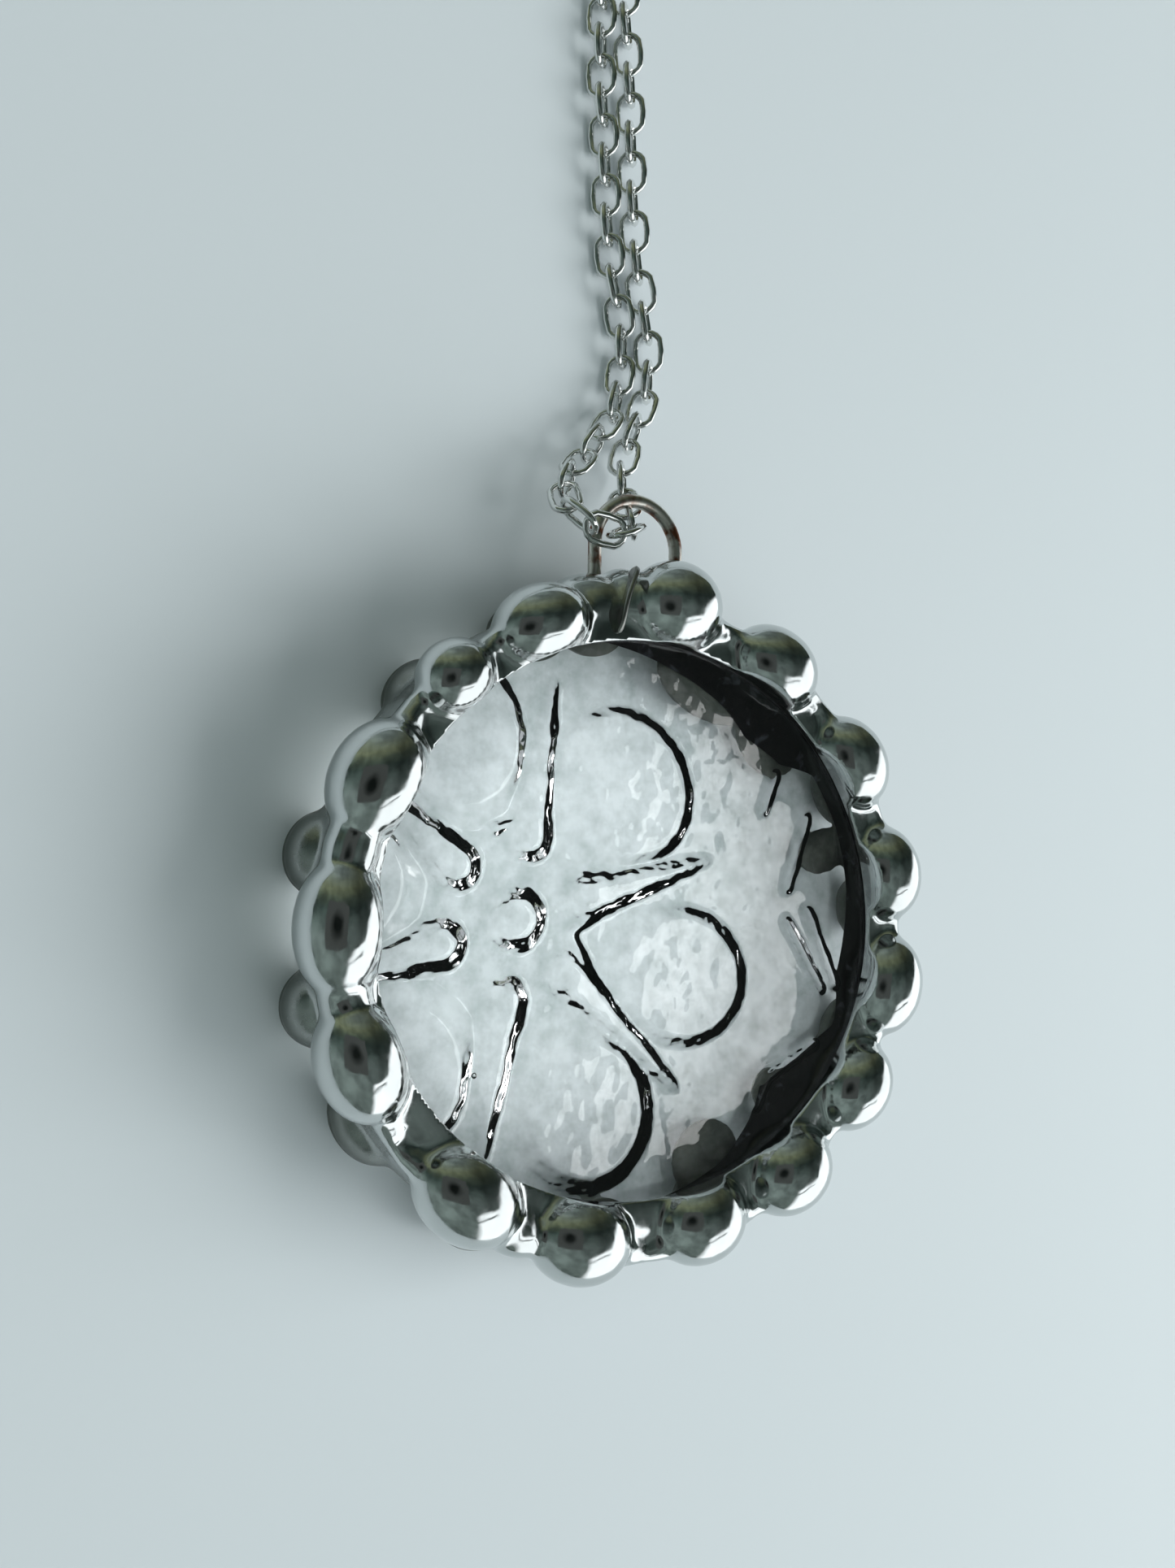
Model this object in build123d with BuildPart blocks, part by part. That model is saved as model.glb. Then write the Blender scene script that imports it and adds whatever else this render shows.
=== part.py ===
# Flower pendant: a pressed-glass roundel in a beaded solder frame, on a fine cable chain.
# It lies face up on the surface z = 0. +Z is up and +Y runs from the pendant to the clasp.
import os
from math import asin, cos, degrees, pi, radians, sin, sqrt

from build123d import *

os.makedirs("parts", exist_ok=True)

# Driving dimensions, in millimetres

# Glass roundel
glass_diameter = 35.0
glass_thickness = 4.1
glass_edge_chamfer = 0.3
flower_offset_x = -6.8
flower_offset_y = 0.3
flower_reach = 15.7
boss_radius = 1.9
boss_depth = 0.8
boss_wall = 0.7
rib_start = 4.6
rib_inner_width = 3.1
rib_outer_width = 1.5
rib_depth = 0.8
rib_floor_share = 0.45
petal_depth = 0.5
petal_wall = 0.5
flower_rim_margin = 1.4

# Copper foil folded round the edge of the glass
foil_thickness = 0.1
foil_gap = 0.04
front_overlap = 1.5
back_overlap = 2.5

# Solder seams, side wall and beads
seam_height = 0.95
seam_overhang = 1.1
side_wall = 0.75
bead_diameter = 4.9
front_bead_lift = 0.2
back_bead_diameter = 4.5
bead_circle_out = 0.1
tail_stretch = 1.6

# Blob that carries the loop, and the small fold of foil beside it
blob_diameter = 4.2
blob_out = 0.4
blob_azimuth = 101.0
fold_azimuth = 94.0
fold_thickness = 0.35
fold_rise = 2.0

# Wire loop at the top
bail_wire = 0.8
bail_width = 6.3
bail_reach = 6.1
bail_offset_x = 0.35
bail_foot_depth = 0.4

# Cable chain
link_wire = 0.4
link_width = 2.05
link_play = 0.18
link_pitch = 1.95
crowding = 0.03
rest_margin = 0.04
link_roll = 45.0
roll_ease = 0.15
tip_run_links = 2
necklace_length = 460.0

# Clasp and its two jump rings
ring_wire = 0.45
ring_diameter = 3.0
ring_roll = 50.0
clasp_diameter = 6.0
clasp_wire = 1.2
eye_diameter = 2.4
eye_wire = 0.45
trigger_diameter = 0.8
trigger_length = 1.3

# Front beads, clockwise from the top one: azimuth in degrees, width along the rim and
# thickness as shares of bead_diameter, and how far the bead sits out, in the same shares.
FRONT_BEADS = [
    {"azimuth": 84.5, "length": 1.04, "girth": 1.02, "out": 0.16},
    {"azimuth": 60.0, "length": 0.94, "girth": 0.94, "out": 0.02},
    {"azimuth": 34.0, "length": 1.04, "girth": 0.94, "out": 0.00},
    {"azimuth": 10.0, "length": 1.06, "girth": 0.92, "out": 0.02},
    {"azimuth": -12.0, "length": 1.16, "girth": 0.94, "out": 0.04},
    {"azimuth": -33.0, "length": 1.06, "girth": 0.94, "out": 0.04},
    {"azimuth": -55.0, "length": 1.06, "girth": 0.98, "out": 0.02},
    {"azimuth": -76.5, "length": 1.02, "girth": 0.98, "out": -0.02},
    {"azimuth": -103.0, "length": 1.08, "girth": 0.96, "out": 0.02},
    {"azimuth": -127.5, "length": 1.18, "girth": 0.94, "out": 0.00},
    {"azimuth": -158.0, "length": 1.18, "girth": 0.92, "out": 0.02},
    {"azimuth": -180.0, "length": 1.28, "girth": 0.92, "out": 0.02},
    {"azimuth": -205.0, "length": 1.20, "girth": 0.98, "out": 0.00},
    {"azimuth": -227.5, "length": 0.82, "girth": 0.80, "out": 0.00},
    {"azimuth": -247.0, "length": 1.06, "girth": 0.88, "out": 0.02},
]

# Narrow tails of solder that run down from the longer front beads to their neighbours
BEAD_TAILS = [
    {"azimuth": -116.5, "girth": 0.56},
    {"azimuth": -192.5, "girth": 0.60},
    {"azimuth": -169.0, "girth": 0.58},
]

# Back beads: azimuth in degrees, then length and girth as shares of back_bead_diameter
BACK_BEADS = [
    {"azimuth": 143.0, "length": 1.06, "girth": 0.90},
    {"azimuth": 168.0, "length": 1.04, "girth": 0.96},
    {"azimuth": 194.0, "length": 1.00, "girth": 1.00},
    {"azimuth": 216.0, "length": 1.20, "girth": 0.90},
    {"azimuth": 242.0, "length": 1.10, "girth": 1.00},
    {"azimuth": 267.0, "length": 1.02, "girth": 0.96},
    {"azimuth": 291.0, "length": 1.06, "girth": 1.00},
    {"azimuth": 315.0, "length": 0.98, "girth": 0.94},
    {"azimuth": 338.0, "length": 1.08, "girth": 0.98},
    {"azimuth": 3.0, "length": 1.02, "girth": 1.00},
    {"azimuth": 27.0, "length": 1.10, "girth": 0.94},
    {"azimuth": 51.0, "length": 1.00, "girth": 1.00},
    {"azimuth": 73.0, "length": 0.96, "girth": 0.94},
    {"azimuth": 97.0, "length": 1.04, "girth": 0.96},
    {"azimuth": 120.0, "length": 1.00, "girth": 0.92},
]

# Ribs of the flower: azimuth in degrees and reach as a share of flower_reach
RIBS = [
    {"azimuth": 15.0, "reach": 0.87},
    {"azimuth": 82.0, "reach": 0.87},
    {"azimuth": 141.0, "reach": 0.87},
    {"azimuth": 197.0, "reach": 0.87},
    {"azimuth": 261.0, "reach": 0.88},
    {"azimuth": 317.0, "reach": 0.92},
]

# Petals between the ribs: azimuth and half spread in degrees, reach as a share of flower_reach
PETALS = [
    {"azimuth": 47.0, "spread": 23.5, "reach": 0.86},
    {"azimuth": 111.0, "spread": 20.0, "reach": 0.98},
    {"azimuth": 169.0, "spread": 19.0, "reach": 1.00},
    {"azimuth": 229.0, "spread": 22.0, "reach": 1.00},
    {"azimuth": 289.0, "spread": 18.5, "reach": 1.00},
    {"azimuth": 346.0, "spread": 19.5, "reach": 1.00},
]
petal_root = 0.36
petal_root_spread = 0.55
petal_shoulder = 0.80

# Near part of the chain's route, in millimetres: the middle of the links, down the left strand,
# over the left leg of the wire loop, through it and under its top, and up the right strand.
near_route = [
    (-1.00, 60.0, 0.80),
    (-0.65, 54.0, 0.80),
    (-0.30, 48.0, 0.80),
    (-0.05, 43.6, 0.80),
    (0.40, 39.8, 0.80),
    (1.20, 36.0, 0.80),
    (1.00, 33.0, 0.85),
    (0.45, 31.0, 1.20),
    (-0.75, 29.2, 1.60),
    (-2.10, 27.5, 2.05),
    (-3.55, 25.9, 2.80),
    (-4.30, 24.2, 3.95),
    (-3.75, 22.8, 5.20),
    (-2.15, 22.2, 5.60),
    (-0.50, 22.6, 5.05),
    (0.30, 23.7, 3.85),
    (0.55, 25.0, 2.55),
    (0.80, 26.7, 1.70),
    (1.25, 28.4, 1.25),
    (1.95, 30.1, 1.00),
    (2.75, 31.7, 0.85),
    (3.10, 33.4, 0.80),
    (3.10, 36.2, 0.80),
    (2.35, 39.9, 0.80),
    (1.90, 43.8, 0.80),
    (1.65, 48.0, 0.80),
    (1.35, 54.0, 0.80),
    (1.20, 60.0, 0.80),
]

# Hidden part of the chain, laid out as a plain loop: shares of loop_radius, measured from the
# ends of near_route. loop_length_share is the length of one side in the same shares.
LOOP_SIDE = [
    {"out": 0.22, "up": 0.16},
    {"out": 0.62, "up": 0.46},
    {"out": 0.95, "up": 0.92},
    {"out": 0.98, "up": 1.45},
    {"out": 0.66, "up": 1.92},
    {"out": 0.25, "up": 2.10},
]
loop_length_share = 3.12
loop_tip_rise = 0.03

# Heights and radii that follow from the sizes above
glass_radius = glass_diameter / 2
back_bead_radius = back_bead_diameter / 2
back_z = back_bead_radius
front_z = back_z + glass_thickness
middle_z = (front_z + back_z) / 2
foil_inner_radius = glass_radius + foil_gap
foil_outer_radius = foil_inner_radius + foil_thickness
solder_inner_radius = foil_outer_radius + foil_gap
front_opening_radius = glass_radius - front_overlap
back_opening_radius = glass_radius - back_overlap
flower_rim_radius = glass_radius - flower_rim_margin
foil_stack = foil_gap + foil_thickness + foil_gap
side_wall_radius = solder_inner_radius + side_wall
seam_outer_radius = glass_radius + seam_overhang
bead_circle_radius = glass_radius + bead_circle_out


def around(radius, azimuth, height=0.0):
    """A point at a radius and azimuth, in degrees, round the middle of the glass."""
    return Vector(radius * cos(radians(azimuth)), radius * sin(radians(azimuth)), height)


def flower_point(radius, azimuth):
    """A point of the flower's drawing, measured from the flower's own middle."""
    return around(radius, azimuth) + Vector(flower_offset_x, flower_offset_y, 0)


def reach_to_rim(azimuth):
    """Distance from the flower's middle, along an azimuth, to where the foil hides the glass."""
    line = around(1, azimuth)
    along = line.X * flower_offset_x + line.Y * flower_offset_y
    offset_squared = flower_offset_x**2 + flower_offset_y**2
    return sqrt(along**2 - offset_squared + flower_rim_radius**2) - along


# Glass roundel: a plain disc, with the flower pressed into its back

with BuildPart() as glass_roundel:
    with BuildSketch(Plane.XY.offset(back_z)):
        Circle(glass_radius)
    extrude(amount=glass_thickness)
    chamfer(glass_roundel.edges().filter_by(GeomType.CIRCLE), length=glass_edge_chamfer)

    for height, radius in ((0, boss_radius), (boss_depth, boss_radius - boss_wall)):
        with BuildSketch(Plane.XY.offset(back_z + height)):
            with Locations((flower_offset_x, flower_offset_y)):
                Circle(radius)
    loft(ruled=True, mode=Mode.SUBTRACT)

    for rib in RIBS:
        azimuth = rib["azimuth"]
        ahead = around(1, azimuth)
        side = around(1, azimuth + 90)
        reach = min(rib["reach"] * flower_reach, reach_to_rim(azimuth))
        near = flower_point(rib_start, azimuth)
        far = flower_point(reach - rib_outer_width / 2, azimuth)
        for height, share in ((0, 1), (rib_depth, rib_floor_share)):
            near_half = share * rib_inner_width / 2
            far_half = share * rib_outer_width / 2
            with BuildSketch(Plane.XY.offset(back_z + height)):
                with BuildLine():
                    near_left = near + side * near_half
                    near_right = near - side * near_half
                    far_left = far + side * far_half
                    far_right = far - side * far_half
                    ThreePointArc(near_left, near - ahead * near_half, near_right)
                    Line(near_right, far_right)
                    ThreePointArc(far_right, far + ahead * far_half, far_left)
                    Line(far_left, near_left)
                make_face()
        loft(ruled=True, mode=Mode.SUBTRACT)

    for petal in PETALS:
        azimuth = petal["azimuth"]
        full_reach = min(petal["reach"] * flower_reach, reach_to_rim(azimuth))
        for height, inset in ((0, 0), (petal_depth, petal_wall)):
            reach = full_reach - inset
            root = petal_root * full_reach + inset
            shoulder = petal_shoulder * full_reach
            spread = petal["spread"] - degrees(inset / shoulder)
            root_spread = petal_root_spread * petal["spread"] - degrees(inset / root)
            with BuildSketch(Plane.XY.offset(back_z + height)):
                with BuildLine():
                    root_right = flower_point(root, azimuth - root_spread)
                    root_left = flower_point(root, azimuth + root_spread)
                    wide_right = flower_point(shoulder, azimuth - spread)
                    wide_left = flower_point(shoulder, azimuth + spread)
                    Line(root_right, wide_right)
                    ThreePointArc(wide_right, flower_point(reach, azimuth), wide_left)
                    Line(wide_left, root_left)
                    Line(root_left, root_right)
                make_face()
        loft(ruled=True, mode=Mode.SUBTRACT)


# Copper foil: a thin channel folded over both faces of the glass

with BuildPart() as foil_band:
    with BuildSketch(Plane.XY.offset(back_z - foil_gap - foil_thickness)):
        Circle(foil_outer_radius)
    extrude(amount=glass_thickness + 2 * (foil_gap + foil_thickness))
    with BuildSketch(Plane.XY.offset(back_z - foil_gap)):
        Circle(foil_inner_radius)
    extrude(amount=glass_thickness + 2 * foil_gap, mode=Mode.SUBTRACT)
    with BuildSketch(Plane.XY.offset(middle_z)):
        Circle(front_opening_radius)
    extrude(amount=glass_thickness, mode=Mode.SUBTRACT)
    with BuildSketch(Plane.XY.offset(middle_z)):
        Circle(back_opening_radius)
    extrude(amount=-glass_thickness, mode=Mode.SUBTRACT)


# Solder frame: two seams and a side wall turned round the glass, beads, blob and wire loop

bail_radius = (bail_width - bail_wire) / 2
bail_top_y = seam_outer_radius + bail_reach + bail_wire
bail_centre_y = bail_top_y - bail_radius
bail_foot_y = glass_radius + bail_foot_depth

with BuildPart() as solder_frame:
    with BuildSketch(Plane.XZ):
        for inner_radius, height in ((front_opening_radius, front_z), (back_opening_radius, back_z)):
            with Locations(((inner_radius + seam_outer_radius) / 2, height)):
                Ellipse((seam_outer_radius - inner_radius) / 2, seam_height)
        with Locations(((solder_inner_radius + side_wall_radius) / 2, middle_z)):
            Rectangle(side_wall, glass_thickness)
    revolve(axis=Axis.Z)

    beads = []
    for bead in FRONT_BEADS:
        out = bead_circle_radius + bead["out"] * bead_diameter
        beads.append((
            around(out, bead["azimuth"], front_z + front_bead_lift),
            bead["azimuth"],
            bead["length"] * bead_diameter / 2,
            bead["girth"] * bead_diameter / 2,
        ))
    for tail in BEAD_TAILS:
        girth = tail["girth"] * bead_diameter / 2
        centre = around(bead_circle_radius, tail["azimuth"], front_z)
        beads.append((centre, tail["azimuth"], tail_stretch * girth, girth))
    for bead in BACK_BEADS:
        girth = bead["girth"] * back_bead_radius
        centre = around(bead_circle_radius, bead["azimuth"], girth)
        beads.append((centre, bead["azimuth"], bead["length"] * back_bead_radius, girth))
    blob_radius = blob_diameter / 2
    blob_place = around(glass_radius + blob_out, blob_azimuth, middle_z)
    beads.append((blob_place, blob_azimuth, blob_radius, blob_radius))

    for centre, azimuth, half_length, half_girth in beads:
        tangent = around(1, azimuth + 90)
        with BuildSketch(Plane(origin=centre, x_dir=tangent, z_dir=around(1, azimuth))):
            Ellipse(half_length, half_girth)
            Rectangle(2 * half_length, half_girth, align=(Align.CENTER, Align.MIN), mode=Mode.INTERSECT)
        revolve(axis=Axis(centre, tangent))

    fold_length = seam_outer_radius + bail_wire - front_opening_radius
    fold_place = around(front_opening_radius + fold_length / 2, fold_azimuth, front_z)
    with BuildSketch(Plane(origin=fold_place, x_dir=around(1, fold_azimuth), z_dir=(0, 0, 1))):
        Rectangle(fold_length, fold_thickness)
    extrude(amount=fold_rise)

    left_foot = Vector(bail_offset_x - bail_radius, bail_foot_y, middle_z)
    left_shoulder = Vector(left_foot.X, bail_centre_y, middle_z)
    right_shoulder = Vector(bail_offset_x + bail_radius, bail_centre_y, middle_z)
    right_foot = Vector(right_shoulder.X, bail_foot_y, middle_z)
    with BuildLine() as bail_path:
        Line(left_foot, left_shoulder)
        ThreePointArc(left_shoulder, (bail_offset_x, bail_top_y, middle_z), right_shoulder)
        Line(right_shoulder, right_foot)
    with BuildSketch(Plane(origin=bail_path.line @ 0, z_dir=bail_path.line % 0)):
        Circle(bail_wire / 2)
    sweep(path=bail_path.line)

    with BuildSketch(Plane.XY.offset(back_z - foil_stack)):
        Circle(solder_inner_radius)
    extrude(amount=glass_thickness + 2 * foil_stack, mode=Mode.SUBTRACT)
    with BuildSketch(Plane.XY.offset(middle_z)):
        Circle(front_opening_radius)
    extrude(amount=glass_thickness + bead_diameter, mode=Mode.SUBTRACT)
    with BuildSketch(Plane.XY.offset(middle_z)):
        Circle(back_opening_radius)
    extrude(amount=-glass_thickness - bead_diameter, mode=Mode.SUBTRACT)


# Chain: one link, copied along the route so that each link hangs in the next

link_length = link_pitch + link_play + 2 * link_wire
link_turn_radius = (link_width - link_wire) / 2
link_straight = link_length - link_width
link_rest_z = link_turn_radius * sin(radians(link_roll)) + link_wire / 2 + rest_margin
ring_turn_radius = (ring_diameter - ring_wire) / 2
clasp_turn_radius = (clasp_diameter - clasp_wire) / 2
eye_turn_radius = (eye_diameter - eye_wire) / 2
clasp_z = ring_turn_radius * sin(radians(ring_roll)) + ring_wire / 2


def rolled_normal(direction, roll):
    """Normal of a link or ring that runs along direction, rolled about it from lying flat."""
    level = direction.cross(Vector(0, 0, 1)).normalized()
    return level.cross(direction).rotate(Axis((0, 0, 0), direction), roll)


# Where two rings meet, each reaches past the meeting point by half the play
ring_hold = ring_turn_radius - ring_wire / 2 - link_play / 2
eye_hold = eye_turn_radius - eye_wire / 2 - link_play / 2
clasp_hold = clasp_turn_radius - clasp_wire / 2 - link_play / 2
eye_distance = eye_turn_radius + clasp_turn_radius
clasp_run = 4 * ring_hold + eye_hold + eye_distance + clasp_hold

# The hidden loop takes what the near route and the clasp leave of the necklace's length
near_length = Edge.make_spline(near_route).length
loop_radius = (necklace_length - near_length - clasp_run) / (2 * loop_length_share)
left_end = Vector(near_route[0])
right_end = Vector(near_route[-1])
left_loop = [left_end + Vector(-row["out"], row["up"], 0) * loop_radius for row in LOOP_SIDE]
right_loop = [right_end + Vector(row["out"], row["up"], 0) * loop_radius for row in LOOP_SIDE]

# The clasp and its rings lie level between the two tips of the chain, at the top of the loop
loop_top = (left_loop[-1] + right_loop[-1]) / 2
top_y = loop_top.Y + loop_tip_rise * loop_radius
left_tip = Vector(loop_top.X - clasp_run / 2, top_y, clasp_z)
right_tip = Vector(loop_top.X + clasp_run / 2, top_y, clasp_z)
jump_ring_place = left_tip + Vector(ring_hold, 0, 0)
clasp_place = left_tip + Vector(2 * ring_hold + eye_hold + eye_distance, 0, 0)
tag_ring_place = right_tip - Vector(ring_hold, 0, 0)
tip_run = Vector(tip_run_links * link_pitch, 0, 0)

route_points = [left_tip, left_tip - tip_run]
route_points += list(reversed(left_loop))
route_points += [Vector(point) for point in near_route]
route_points += right_loop
route_points += [right_tip + tip_run, right_tip]
route = Edge.make_spline(route_points)

# One less than a multiple of four keeps the rolls of both end links and of the middle one
link_count = 4 * round((route.length / link_pitch + 1) / 4) - 1
meets = []
for number in range(link_count + 1):
    share = number / link_count
    meet = route @ (share + crowding * sin(2 * pi * share) / (2 * pi))
    meets.append(Vector(meet.X, meet.Y, max(meet.Z, link_rest_z)))

# Each link stands a quarter turn from the last, and eases back to its resting roll
places = []
normal = None
for number in range(link_count):
    direction = (meets[number + 1] - meets[number]).normalized()
    centre = (meets[number] + meets[number + 1]) / 2
    resting = rolled_normal(direction, link_roll if number % 2 else -link_roll)
    quarter = direction.cross(normal).normalized() if normal else resting
    if quarter.dot(resting) < 0:
        quarter = -quarter
    normal = (quarter * (1 - roll_ease) + resting * roll_ease).normalized()
    places.append(Plane(origin=centre, x_dir=direction, z_dir=normal).location)

# One link

with BuildPart() as link:
    with BuildLine() as link_path:
        half = link_straight / 2
        reach = half + link_turn_radius
        Line((-half, link_turn_radius), (half, link_turn_radius))
        ThreePointArc((half, link_turn_radius), (reach, 0), (half, -link_turn_radius))
        Line((half, -link_turn_radius), (-half, -link_turn_radius))
        ThreePointArc((-half, -link_turn_radius), (-reach, 0), (-half, link_turn_radius))
    with BuildSketch(Plane(origin=link_path.line @ 0, z_dir=link_path.line % 0)):
        Circle(link_wire / 2)
    sweep(path=link_path.line)

with BuildPart() as chain:
    with Locations(*places):
        add(link.part)


# Clasp: a closed spring ring with its eye and thumb nub in one piece, and the two jump rings

along_clasp = Vector(-1, 0, 0)
clasp_roll = degrees(asin((clasp_z - clasp_wire / 2) / clasp_turn_radius))
clasp_plane = Plane(origin=clasp_place, x_dir=(1, 0, 0), z_dir=rolled_normal(along_clasp, -clasp_roll))
ring_normal = rolled_normal(along_clasp, ring_roll)

with BuildPart(clasp_plane) as spring_ring_clasp:
    Torus(clasp_turn_radius, clasp_wire / 2)
    with Locations((-eye_distance, 0, 0)):
        Torus(eye_turn_radius, eye_wire / 2)
    with Locations(Location((0, clasp_turn_radius + trigger_length / 2, 0), (90, 0, 0))):
        Cylinder(trigger_diameter / 2, trigger_length)

with BuildPart(Plane(origin=jump_ring_place, x_dir=(1, 0, 0), z_dir=ring_normal)) as clasp_jump_ring:
    Torus(ring_turn_radius, ring_wire / 2)

with BuildPart(Plane(origin=tag_ring_place, x_dir=(1, 0, 0), z_dir=ring_normal)) as tag_jump_ring:
    Torus(ring_turn_radius, ring_wire / 2)


# The origin is the middle of the whole necklace, on the surface it lies on

pieces = {
    "glass_roundel": glass_roundel,
    "foil_band": foil_band,
    "solder_frame": solder_frame,
    "chain": chain,
    "spring_ring_clasp": spring_ring_clasp,
    "clasp_jump_ring": clasp_jump_ring,
    "tag_jump_ring": tag_jump_ring,
}
boxes = [piece.part.bounding_box() for piece in pieces.values()]
middle_x = (min(box.min.X for box in boxes) + max(box.max.X for box in boxes)) / 2
middle_y = (min(box.min.Y for box in boxes) + max(box.max.Y for box in boxes)) / 2
lowest_z = min(box.min.Z for box in boxes)
for name, piece in pieces.items():
    placed = piece.part.moved(Location((-middle_x, -middle_y, -lowest_z)))
    placed.label = name
    export_step(placed, f"parts/{name}.step")

print("links", link_count, "whole length", round(route.length + clasp_run, 1))
print("pendant middle at", round(-middle_x, 3), round(-middle_y, 3), round(-lowest_z, 3))
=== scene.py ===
# %% [markdown]
# # A pressed-glass flower pendant
# The pendant is a thick roundel of clear pressed glass. Its edge is wrapped in black-backed
# copper foil, and soft solder was dripped on the foil as beads, front and back. A loop of tinned
# wire is soldered to its top, and a fine cable chain runs through the loop.
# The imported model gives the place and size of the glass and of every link. The rest is laid out
# round the glass, so each piece below is made where it belongs.

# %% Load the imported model
import math

import bmesh
import bpy
import numpy as np
from mathutils import Matrix, Vector


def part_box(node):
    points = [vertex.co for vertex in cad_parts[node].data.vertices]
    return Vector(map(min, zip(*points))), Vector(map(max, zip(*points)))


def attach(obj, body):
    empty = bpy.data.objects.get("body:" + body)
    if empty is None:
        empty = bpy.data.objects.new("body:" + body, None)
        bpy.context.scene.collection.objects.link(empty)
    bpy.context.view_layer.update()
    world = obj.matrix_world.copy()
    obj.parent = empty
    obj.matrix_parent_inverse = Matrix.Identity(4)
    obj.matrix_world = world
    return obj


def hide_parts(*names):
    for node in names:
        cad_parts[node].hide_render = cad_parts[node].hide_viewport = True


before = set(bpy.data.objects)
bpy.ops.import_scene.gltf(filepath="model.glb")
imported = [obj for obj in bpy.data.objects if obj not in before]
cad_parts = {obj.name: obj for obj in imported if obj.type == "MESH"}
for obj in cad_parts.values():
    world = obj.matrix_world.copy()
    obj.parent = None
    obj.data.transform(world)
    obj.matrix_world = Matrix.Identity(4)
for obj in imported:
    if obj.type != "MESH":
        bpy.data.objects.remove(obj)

for leftover in [thing for thing in bpy.data.objects if thing.type in ("LIGHT", "CAMERA")]:
    bpy.data.objects.remove(leftover)
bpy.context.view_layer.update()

# %% [markdown]
# ## Places on the pendant
# Jewellers measure in millimetres and Blender in metres. One name, `mm`, joins the two.
# Most of the pendant is laid out round the middle of the glass, so one helper turns a radius
# and an azimuth into a point. Azimuth 0 is to the right and 90 is at the wire loop.

# %% Millimetres, heights and the round layout
mm = 0.001
glass_low, glass_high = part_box("glass_roundel")
glass_radius = (glass_high.x - glass_low.x) / 2
middle = Vector(((glass_low.x + glass_high.x) / 2, (glass_low.y + glass_high.y) / 2, 0))
back_z = glass_low.z
front_z = glass_high.z
middle_z = (back_z + front_z) / 2


def around(radius, azimuth, height=0.0):
    """The point at a radius and azimuth, in metres and degrees, round the pendant's middle."""
    turn = math.radians(azimuth)
    return middle + Vector((radius * math.cos(turn), radius * math.sin(turn), height))


def on_pendant(x, y, z):
    """The point at x, y and z millimetres from the pendant's middle on the table."""
    return middle + Vector((x, y, z)) * mm


print("glass", round(2 * glass_radius / mm, 1), "mm across, from", round(back_z / mm, 2), "up")

# %% [markdown]
# ## Hand tools
# Modelling by operators always has the same small steps: nothing is selected, a primitive is
# added, it gets a name, and in the end its place goes into its mesh. A modifier is applied at
# once, so that the next step works on real points. Many tools are cylinders round the pendant's
# middle, and each tool is removed once it has cut.

# %% Small helpers for operators
def start_clean():
    """Deselects everything, because an operator acts on all that is selected."""
    if bpy.context.object and bpy.context.object.mode != "OBJECT":
        bpy.ops.object.mode_set(mode="OBJECT")
    bpy.ops.object.select_all(action="DESELECT")


def keep_place(name):
    """Names the primitive just added and puts its place, turn and scale into its mesh."""
    piece = bpy.context.object
    piece.name = name
    piece.data.name = name
    bpy.ops.object.transform_apply(location=True, rotation=True, scale=True)
    return piece


def pick(piece, *others):
    """Selects pieces for the next operator. The first one is the active one."""
    start_clean()
    for chosen in (piece,) + others:
        chosen.select_set(True)
    bpy.context.view_layer.objects.active = piece


def edit_all(piece):
    """Opens a piece in edit mode with everything selected."""
    pick(piece)
    bpy.ops.object.mode_set(mode="EDIT")
    bpy.ops.mesh.select_all(action="SELECT")


def add_cylinder(name, vertices, radius, depth, height, ends="NGON"):
    """A cylinder round the pendant's middle, centred at a height."""
    start_clean()
    bpy.ops.mesh.primitive_cylinder_add(
        vertices=vertices,
        radius=radius,
        depth=depth,
        location=middle + Vector((0, 0, height)),
        end_fill_type=ends,
    )
    return keep_place(name)


def join(pieces, name):
    """Joins pieces into one object with one mesh."""
    pick(*pieces)
    bpy.ops.object.join()
    return keep_place(name)


def modify(piece, kind, **settings):
    """Adds a modifier with its settings and applies it."""
    pick(piece)
    modifier = piece.modifiers.new(kind.title(), kind)
    for name, value in settings.items():
        setattr(modifier, name, value)
    bpy.ops.object.modifier_apply(modifier=modifier.name)


def cut(piece, tool, operation="DIFFERENCE"):
    """Cuts a piece with a tool and removes the tool."""
    modify(piece, "BOOLEAN", operation=operation, object=tool, solver="EXACT")
    bpy.data.objects.remove(tool)


def smooth(piece):
    """Shades a piece smooth."""
    pick(piece)
    bpy.ops.object.shade_smooth()


def report(piece):
    """Prints how many triangles a piece has and how large it is."""
    triangles = sum(len(face.vertices) - 2 for face in piece.data.polygons)
    size = [round(side / mm, 1) for side in piece.dimensions]
    print(piece.name, triangles, "triangles,", size, "mm")


# %% [markdown]
# ## Solder
# On the real pendant solder is melted on with an iron. Each drop pulls itself round and flows
# into the seam beside it. A blend like that could be sculpted, but it is quicker to pile up
# plain balls and rings and let a voxel remesh melt them into one skin. Smoothing then does
# what surface tension does and rounds the creases.
# The tables list the drops as a jeweller would point at them, going round the rim. Lengths are
# along the rim and girths across it, both in millimetres. Each front drop also gets a thin foot,
# which becomes its neck to the next drop. The puddles are solder that ran on to the back face.
# Each is a low ball, and the seat of the glass later cuts its top flat. Melting shrinks the front
# drops, so they start longer and thicker than the table says.

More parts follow.
